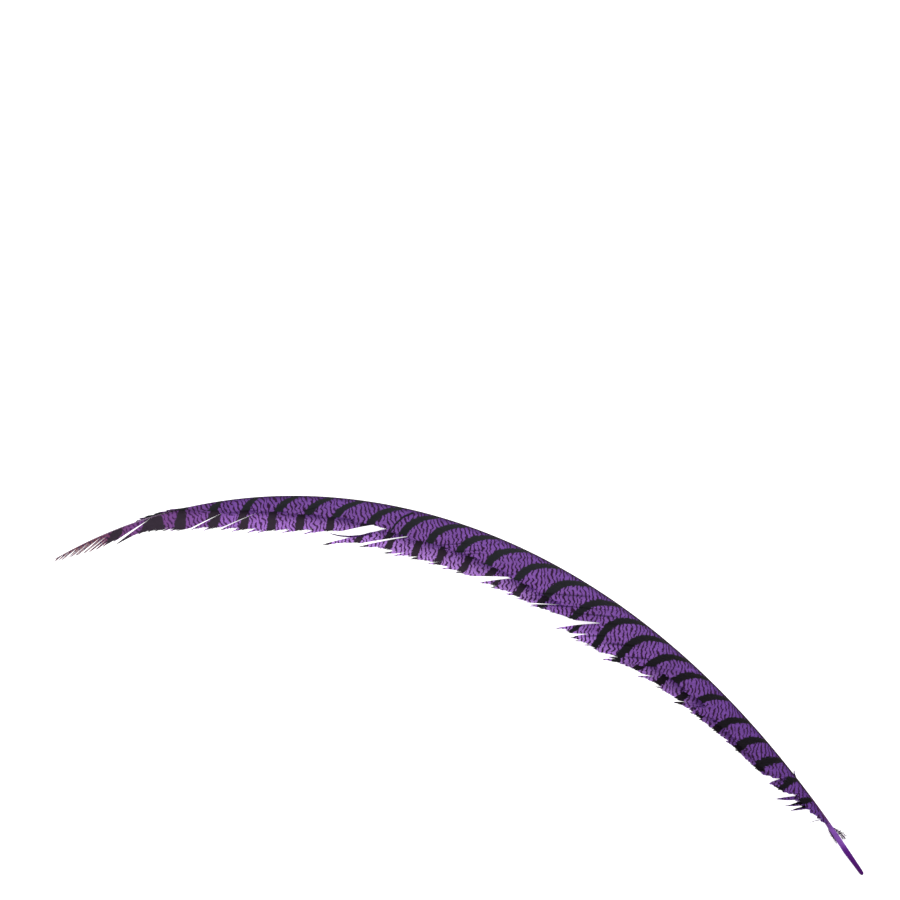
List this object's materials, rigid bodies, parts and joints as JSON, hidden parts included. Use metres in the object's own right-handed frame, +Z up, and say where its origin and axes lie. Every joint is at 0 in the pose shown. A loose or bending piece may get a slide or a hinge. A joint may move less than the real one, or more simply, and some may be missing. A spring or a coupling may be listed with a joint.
{
  "type": "pheasant tail feather",
  "caption": "Long bowed pheasant tail feather, dyed purple with dark bars, lying on its side: a tapering shaft, a flat lower vane and an arched upper vane.",
  "frame": {"origin": "on the surface that the feather lies on, under the middle of its bounding box", "axes": "+X runs along the straight line from tip to quill, towards the quill; +Y points to the back of the bow; +Z points up from the surface"},
  "size_m": [0.5056, 0.108, 0.0122],
  "materials": {
    "shaft": "dyed feather horn (keratin), smooth with a satin gloss, darker at the quill's end",
    "vane_outer": "dyed feather web, saturated purple with slate-black bars and fine wavy dark lines, silky sheen along the barbs",
    "vane_inner": "dyed feather web, pale lilac with brown-black bars and fine wavy dark lines, duller than the outer face",
    "down": "loose downy barbs, matte dusky purple"
  },
  "bodies": {
    "root": {"shaft": "shaft", "lower_vane": "vane_inner", "upper_vane": "vane_outer", "down_tuft_outside": "down", "down_tuft_inside": "down"}
  },
  "joints": []
}
